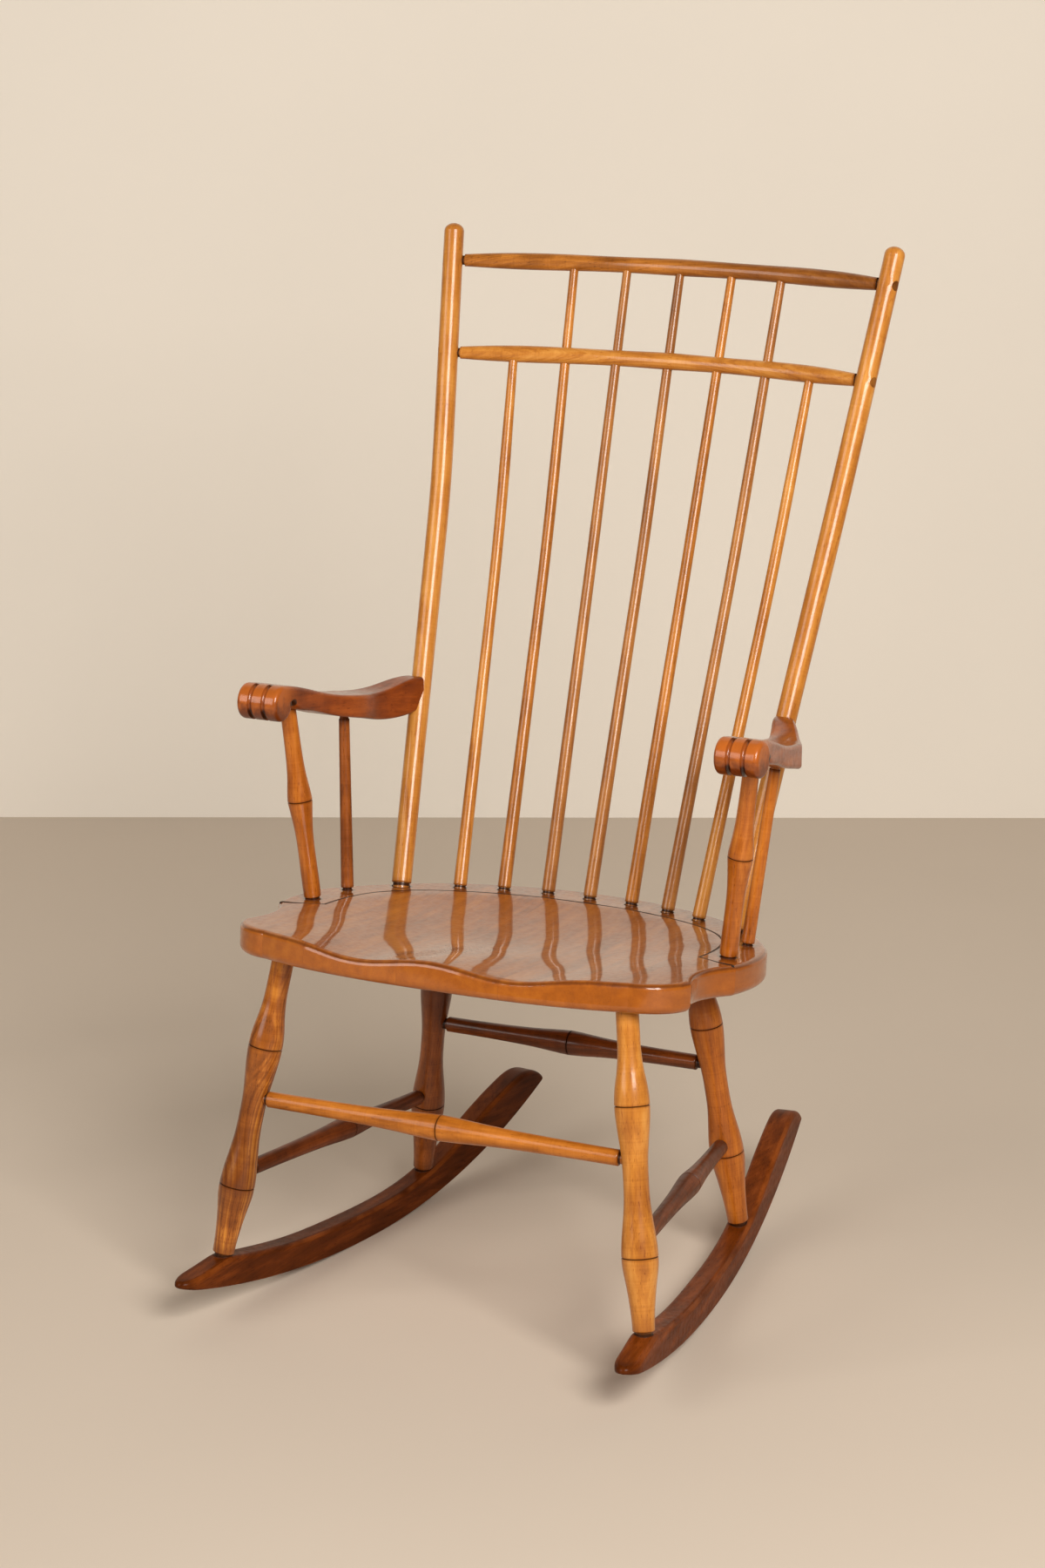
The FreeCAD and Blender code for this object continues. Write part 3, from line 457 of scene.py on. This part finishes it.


# The legs are turned from maple, each with two swells that are cut by a thin ring at their fullest
# place. Their feet are tenoned into the rockers and their tops into the seat. The rings and the
# shoulders are dark with stain that collected there and with painted shade, and broad painted shade
# lies where a leg stands in shadow.

def stain_and_shade_marks(step, place, marks, spread):
    """A mask of stain and painted shade at marks, each a distance from the foot, a half width and a strength.

    A mark is whole in its middle and fades out at its half width times the spread.
    """
    whole_share, wander = 0.6, 0.0008
    along = step("ShaderNodeSeparateXYZ", {0: place})[2]
    along = reckon(step, "MULTIPLY_ADD", clouds(step, place, per_metre=60.0), wander, along)
    at_marks = []
    for at, half, strength in marks:
        away = apart(step, along, at + wander / 2)
        at_marks.append(mask(step, away, start=half * spread, full=half * whole_share, most=strength))
    return picked(step, "MAXIMUM", at_marks)


stains = {
    "honey": ("D99848", "BF792D", "844315"),
    "amber": ("C67627", "A55815", "6A3008"),
    "brown": ("A65B22", "7F4011", "451C06"),
    "figured": ("D08632", "9A551A", "582808"),
    "bright": ("CA7C2E", "A8601A", "70380B"),
    "golden": ("D48A3A", "AC6824", "69360E"),
    "tan": ("C2823E", "A0642E", "6A3E1A"),
    "dark": ("8C4616", "65300B", "341504"),
    "russet": ("90481A", "6A300A", "3A1603"),
    "umber": ("7C3C12", "582708", "2E1102"),
}


def turned_finish(name, foot, top, stain, board, marks, rings=0.3, curl=0.3, drift=0.7, bow=0.0,
                  gloss=0.15, coat=0.65, painted_shades=()):
    """Lacquered maple along one piece, with stain and painted shade at its marks and broad painted shade over
    its painted shades.

    A painted shade is given as a mark is. Next to no coat is left where a mark is darkest.
    """
    coat_at_marks = 0.05
    deep = stains[stain][-1]
    finish, step = start_finish(name + "_wood")
    place = along_the_grain(step, foot, top, bow)
    grained = stained_wood(step, place, stains[stain], board, rings, curl, drift, lathe=0.15)
    # The marks are dark with stain that collected in the rings, necks and shoulders, and with painted shade
    # that falls there.
    darkest_at_marks = stain_and_shade_marks(step, place, marks, spread=1.3)
    layers = [(stain_and_shade_marks(step, place, marks, spread=5.0), deep, 0.5), (darkest_at_marks, "2A1206", 0.95)]
    if painted_shades:
        layers.insert(0, (stain_and_shade_marks(step, place, painted_shades, spread=2.5), deep, 1.0))
    colour = toned(step, grained["Color"], *layers)
    worn_coat = graded(step, darkest_at_marks, start=0, end=1, first=coat, last=coat_at_marks)
    lacquered(step, grained, colour, coat=worn_coat, gloss=gloss, ripple=0.0003)
    wear(chair[name], finish)


def both_sides(name, foot, top):
    """The left piece, at positive X, and its mirrored right twin, each with its two end points."""
    for side, sign in (("left", 1), ("right", -1)):
        yield f"{name}_{side}", (foot[0] * sign, foot[1], foot[2]), (top[0] * sign, top[1], top[2])


def cut_rings(*distances):
    """The marks of the rings that are cut in the swells of a turning."""
    half, strength = 0.0007, 0.8
    return tuple((at, half, strength) for at in distances)


front_leg = ((0.25253, -0.29737, 0.06554), (0.2035, -0.23687, 0.39841))
back_leg = ((0.202, 0.09163, 0.04153), (0.158, 0.05663, 0.36653))
# The mark at the shoulder over the rocker is stain and painted shade.
leg_shoulder = (-0.003, 0.0058, 1)
# The painted shades are painted shade: over the lower swell of the front right leg, and at the tops of the
# back legs under the seat.
leg_looks = {
    "leg_front_left": {"stain": "honey", "board": 2.3, "rings": 0.25},
    "leg_front_right": {"stain": "figured", "board": 5.9, "rings": 1.1, "curl": 0.6,
                        "painted_shades": ((0.105, 0.035, 0.55), (0.17, 0.02, 0.3))},
    "leg_back_left": {"stain": "amber", "board": 8.1, "painted_shades": ((0.32, 0.03, 0.7),)},
    "leg_back_right": {"stain": "brown", "board": 9.4, "painted_shades": ((0.3, 0.05, 0.8),)},
}
for kind, leg, cuts in (("leg_front", front_leg, cut_rings(0.0812, 0.2402)),
                        ("leg_back", back_leg, cut_rings(0.0892, 0.2457))):
    for name, foot, top in both_sides(kind, *leg):
        turned_finish(name, foot, top, marks=(leg_shoulder, *cuts), coat=0.5, **leg_looks[name])


# The stretchers are turned maple too, with one ringed swell, and are pushed into blind holes in the
# legs. The front one is honey coloured. The rear one and the two sides took the stain darker.

def both_ends(length, at, half, strength=1):
    """The same mark at each end of a piece, a distance from its foot and from its top."""
    return (at, half, strength), (length - at, half, strength)


# The marks at the ends, where each stretcher goes into a leg, are stain and painted shade.
for name, (x, y, z), stain, board in (("front_stretcher", (0.22639, -0.26512, 0.243), "bright", 12.2),
                                      ("rear_stretcher", (0.17581, 0.0708, 0.235), "dark", 14.6)):
    marks = cut_rings(x) + both_ends(2 * x, at=0.0158, half=0.0014)
    turned_finish(name, (-x, y, z), (x, y, z), stain, board, marks, coat=0.35)

side_front, side_back = (0.23884, -0.28048, 0.1585), (0.1884, 0.08081, 0.142)
side_length, past_the_middle = (Vector(side_back) - Vector(side_front)).length, 0.02
side_ring = (side_length / 2 + past_the_middle, 0.0006, 0.6)
side_marks = (side_ring, *both_ends(side_length, at=0.0208, half=0.0014))
for index, (name, foot, top) in enumerate(both_sides("side_stretcher", side_front, side_back)):
    turned_finish(name, foot, top, "umber", board=17.3 + 2.4 * index, marks=side_marks, rings=0.5,
                  gloss=0.3, coat=0.1)


# The rockers are sawn from dark stained maple plank, so their grain runs straight while they curve.
# Their edges are softened and rubbed, the nose and the rounded tail sweep up from the floor, and the
# treads are worn pale.

def rocker_finish(name, foot, top, stain, board):
    """Dark stained plank, paler along its edges and under its tread and darkest at its nose."""
    wander = 0.04
    finish, step = start_finish(name + "_wood")
    place = along_the_grain(step, foot, top)
    grained = stained_wood(step, place, stains[stain], board, rings=0.2, curl=0.1, drift=0.7)
    patch = clouds(step, place, per_metre=15.0, detail=5.0)
    sideways, _, facing_up = step("ShaderNodeSeparateXYZ", {0: step("ShaderNodeTexCoord")["Normal"]})
    sideways = reckon(step, "ABSOLUTE", sideways)
    edge = reckon(step, "MULTIPLY", mask(step, sideways, start=0.985, full=0.9),
                  mask(step, sideways, start=0.25, full=0.5))
    rubbed = reckon(step, "MULTIPLY", edge, mask(step, patch, start=0.42, full=0.6))
    tread = mask(step, facing_up, start=-0.85, full=-0.97)
    along = step("ShaderNodeSeparateXYZ", {0: place})[2]
    nose = mask(step, reckon(step, "MULTIPLY_ADD", patch, wander, along), start=0.042, full=0.022)
    colour = toned(step, grained["Color"], (rubbed, "A85A26", 0.3), (tread, "8A5A38", 0.6),
                   (nose, "2E1004", 0.55))
    lacquered(step, grained, colour, coat=0.1, gloss=0.2, ripple=0.0006, shine=0.02)
    wear(chair[name], finish)


rocker = ((0.252, -0.376, 0.03), (0.19, 0.336, 0.03))
for index, (name, foot, top) in enumerate(both_sides("rocker", *rocker)):
    rocker_finish(name, foot, top, ("russet", "umber")[index], board=22.7 + 3.1 * index)


# The two back posts are bent maple rods with domed tops. They lean back and spread from the seat,
# where each stands on a short neck, and carry the rails and the arms.

post = ((0.2075, 0.05063, 0.40138), (0.2753, 0.33263, 1.132))
# The neck is painted dark: stain, and painted shade that falls in it.
post_neck, post_bow = (0.0021, 0.002, 1), -0.011
for index, (name, foot, top) in enumerate(both_sides("back_post", *post)):
    turned_finish(name, foot, top, "honey", board=31.9 + 4.3 * index, marks=(post_neck,), rings=0.4,
                  curl=0.12, bow=post_bow)


# The rails are bowed rods that taper to round tenons, which go right through the posts and show
# outside as dark ovals of end grain. The outer two spindles end in the lower rail, and the other
# five pass through it and end in the upper one.

# The top rail's painted shades darken it towards one end.
for name, (x, y, z), middle_y, stain, board, painted_shades in (
    ("top_rail", (0.27106, 0.31878, 1.0905), 0.36728, "golden", 41.2,
     ((0.44, 0.09, 0.55), (0.3, 0.02, 0.3))),
    ("lower_rail", (0.26045, 0.28405, 0.9865), 0.33005, "honey", 44.8, ()),
):
    end_grain = both_ends(2 * x, at=-0.012, half=0.006, strength=0.45)
    # The shoulders by the posts are marked with stain and painted shade.
    shoulders = both_ends(2 * x, at=0.0134, half=0.001)
    turned_finish(name, (-x, y, z), (x, y, z), stain, board, end_grain + shoulders, rings=0.6, curl=0.1,
                  bow=middle_y - y, painted_shades=painted_shades)


# The seven spindles are thin tapering maple rods, bent a little and standing on dark necks in the
# seat. They come from different boards, so their tones differ from one to the next.

middle_spindle = 4
spindles = (((0.0, 0.11993, 0.39385), (0.0, 0.36728, 1.0905)),
            ((0.0523, 0.11943, 0.3939), (0.0658, 0.3645, 1.0905)),
            ((0.1026, 0.10663, 0.3953), (0.13, 0.35639, 1.0905)),
            ((0.1493, 0.08603, 0.39753), (0.1858, 0.307, 0.9865)))
# The necks are painted dark: stain, and painted shade that falls in them.
spindle_neck, spindle_bow = (0.0012, 0.0014, 1), -0.008
spindle_stains = ("honey", "golden", "tan", "tan", "golden", "tan", "honey")
for number, stain in enumerate(spindle_stains, 1):
    foot, top = spindles[abs(number - middle_spindle)]
    sign = -1 if number < middle_spindle else 1
    turned_finish(f"spindle_{number}", (foot[0] * sign, *foot[1:]), (top[0] * sign, *top[1:]), stain,
                  board=50.0 + 2.9 * number, marks=(spindle_neck,), rings=0.4, curl=0.1, drift=0.8,
                  bow=spindle_bow)


# Under each arm stand a turned stump with one ringed swell, near the front, and a plain tapered
# spindle behind it. Both are pegged into the seat and into the underside of the arm.

arm_stump = ((0.2525, -0.07957, 0.41552), (0.2785, -0.08477, 0.63752))
arm_spindle = ((0.2463, -0.00837, 0.40779), (0.2633, 0.02013, 0.60179))
# The marks at the feet are stain and painted shade in the necks. The mark at the top of each arm spindle is
# painted shade under the arm.
foot_neck, top_neck = (0.0014, 0.0014, 1), (0.1952, 0.0014, 0.5)
for index, (name, foot, top) in enumerate(both_sides("arm_stump", *arm_stump)):
    turned_finish(name, foot, top, "amber", board=61.4 + 2.2 * index,
                  marks=(foot_neck, *cut_rings(0.1145)))
for index, (name, foot, top) in enumerate(both_sides("arm_spindle", *arm_spindle)):
    turned_finish(name, foot, top, ("amber", "brown")[index], board=66.4 + 2.2 * index,
                  marks=(foot_neck, top_neck))


# The arms are carved from thick maple, and each sweeps in to its post, where it is coped and
# tenoned. Their knuckles are three rolls parted by gouge cuts, with a small deep eye on each side
# behind them. The gouges are stained dark and painted darkest in a pocket low at the front and over
# the top of each roll. The eyes and the low side of the knuckles are painted dark as shade.

arm_stain = ("A9551A", "853B0D", "4A1A05")
arm_grain = ((0.283, -0.128, 0.651), (0.24, 0.131, 0.611))
knuckle_y, knuckle_z = -0.128, 0.651
gouge_middles = (0.27517, 0.29183)
eye_middle, eye_half_size = (0, -0.108, 0.6477), (1, 0.007, 0.005)


def arm_finish(name, foot, top, board):
    """Red-brown maple, paler on the knuckles, with painted shade on their low side, and darkest in the gouges
    and in the eyes, whose dark is painted shade.
    """
    wander = 0.04
    finish, step = start_finish(name + "_wood")
    place = along_the_grain(step, foot, top)
    grained = stained_wood(step, place, arm_stain, board, rings=0.12, curl=0.35, drift=0.9)
    x, y, z = step("ShaderNodeSeparateXYZ", {0: own_place(step)})
    x = reckon(step, "ABSOLUTE", x)
    in_gouge = [mask(step, apart(step, x, middle), start=0.0036, full=0.0024) for middle in gouge_middles]
    on_roll = mask(step, y, start=-0.116, full=-0.122)
    gouges = reckon(step, "MULTIPLY", picked(step, "MAXIMUM", in_gouge), on_roll)
    ahead, above = reckon(step, "SUBTRACT", knuckle_y, y), reckon(step, "SUBTRACT", z, knuckle_z)
    angle = reckon(step, "ARCTAN2", above, ahead)
    pocket = reckon(step, "MULTIPLY", mask(step, angle, start=-0.15, full=-0.4),
                    mask(step, angle, start=-1.25, full=-1.0))
    over_roll = mask(step, angle, start=1.0, full=1.6, most=0.75)
    ends = reckon(step, "MULTIPLY", gouges, reckon(step, "MAXIMUM", pocket, over_roll))
    side_view = step("ShaderNodeCombineXYZ", {1: y, 2: z})[0]
    from_eye = step("ShaderNodeMapping", {"Vector": side_view, "Location": eye_middle,
                                          "Scale": eye_half_size}, vector_type="TEXTURE")[0]
    from_eye = step("ShaderNodeVectorMath", {0: from_eye}, operation="LENGTH")["Value"]
    # The eye is painted near black, as the shade in a deep hole behind the rolls.
    eye = mask(step, from_eye, start=1.15, full=0.75)
    knuckles = mask(step, y, start=-0.094, full=-0.129)
    # The low side of the knuckles is painted dark as shade, along an uneven edge.
    edge_wobble = clouds(step, own_place(step), per_metre=110.0, detail=5.0)
    low = mask(step, reckon(step, "MULTIPLY_ADD", edge_wobble, wander, z), start=0.682, full=0.658)
    shade_under_knuckles = reckon(step, "MULTIPLY", low, knuckles)
    colour = toned(step, grained["Color"], (knuckles, "C46A24", 0.6), (shade_under_knuckles, "4C1705", 0.8),
                   (eye, "1C0A04", 0.95), (gouges, "6E2E0F", 0.45), (ends, "240C05", 0.9))
    lacquered(step, grained, colour, coat=0.7, gloss=0.16, ripple=0.0005)
    wear(chair[name], finish)


for index, (name, foot, top) in enumerate(both_sides("arm", *arm_grain)):
    arm_finish(name, foot, top, board=71.3 + 3.6 * index)


# Where each round foot enters the seat or a rocker, a thin dark ring follows the surface round the
# mouth of the socket: finish collected in the joint and painted shade in the gap, together.

# The rings' dark colour is finish and painted shade together.
ring_finish_and_shade, step = start_finish("finish_and_shade_ring")
ring_mottle = clouds(step, own_place(step), per_metre=300.0, detail=3.0)
finish_and_shade_colour = between(step, ring_mottle, tint("35170A"), tint("5C2C12"))
ring_surface = step("ShaderNodeBsdfPrincipled", {"Base Color": finish_and_shade_colour, "Roughness": 0.5,
                                             "Specular IOR Level": 0.15, "Coat Weight": 0.1,
                                             "Coat Roughness": 0.2})[0]
step("ShaderNodeOutputMaterial", {"Surface": ring_surface})


def shade_and_finish_rings():
    """A tree that drops a ring round each point onto the wood below it and gives it a round section."""
    planks = ("Seat", "Left Rocker", "Right Rocker")
    tree, step = start_growth("shade_and_finish_rings", *((name, "Object") for name in planks), ("Radius", "Float"),
                              ("Drop", "Float"), ("Finish", "Material"))
    given = step("NodeGroupInput")
    mouth = step("GeometryNodeInputNamedAttribute", {"Name": "mouth"}, data_type="FLOAT")[0]
    loop = step("GeometryNodeCurvePrimitiveCircle", {"Resolution": 40, "Radius": 1.0})[0]
    rings = step("GeometryNodeInstanceOnPoints", {"Points": given["Geometry"], "Instance": loop,
                                                  "Scale": mouth})[0]
    rings = step("GeometryNodeRealizeInstances", {"Geometry": rings})[0]
    wood_below = tree.nodes.new("GeometryNodeJoinGeometry")
    for name in planks:
        plank = step("GeometryNodeObjectInfo", {"Object": given[name]})["Geometry"]
        tree.links.new(plank, wood_below.inputs[0])
    fall = step("GeometryNodeRaycast", {"Target Geometry": wood_below.outputs[0],
                                        "Ray Direction": (0, 0, -1), "Ray Length": given["Drop"]})
    rings = step("GeometryNodeSetPosition", {"Geometry": rings, "Selection": fall["Is Hit"],
                                             "Position": fall["Hit Position"]})[0]
    section = step("GeometryNodeCurvePrimitiveCircle", {"Resolution": 8, "Radius": given["Radius"]})[0]
    rings = step("GeometryNodeCurveToMesh", {"Curve": rings, "Profile Curve": section})[0]
    end_growth(step, rings, given["Finish"])
    return tree


# Each left or middle foot, with the radius of the ring round it.
mouths = [(foot, 0.0073) for foot, top in spindles]
mouths += [(post[0], 0.0105), (arm_stump[0], 0.0088), (arm_spindle[0], 0.006), (front_leg[0], 0.0098),
           (back_leg[0], 0.0098)]
above_the_foot = 0.008
feet = [((x * side, y, z + above_the_foot), mouth) for (x, y, z), mouth in mouths
        for side in ((1, -1) if x else (1,))]
foot_points = bpy.data.meshes.new("foot_points")
foot_points.from_pydata([place for place, mouth in feet], [], [])
mouth_sizes = foot_points.attributes.new("mouth", "FLOAT", "POINT")
mouth_sizes.data.foreach_set("value", [mouth for place, mouth in feet])
grown("foot_rings", foot_points, shade_and_finish_rings(),
      {"Seat": chair["seat"], "Left Rocker": chair["rocker_left"], "Right Rocker": chair["rocker_right"],
       "Radius": 0.0005, "Drop": 0.03, "Finish": ring_finish_and_shade})
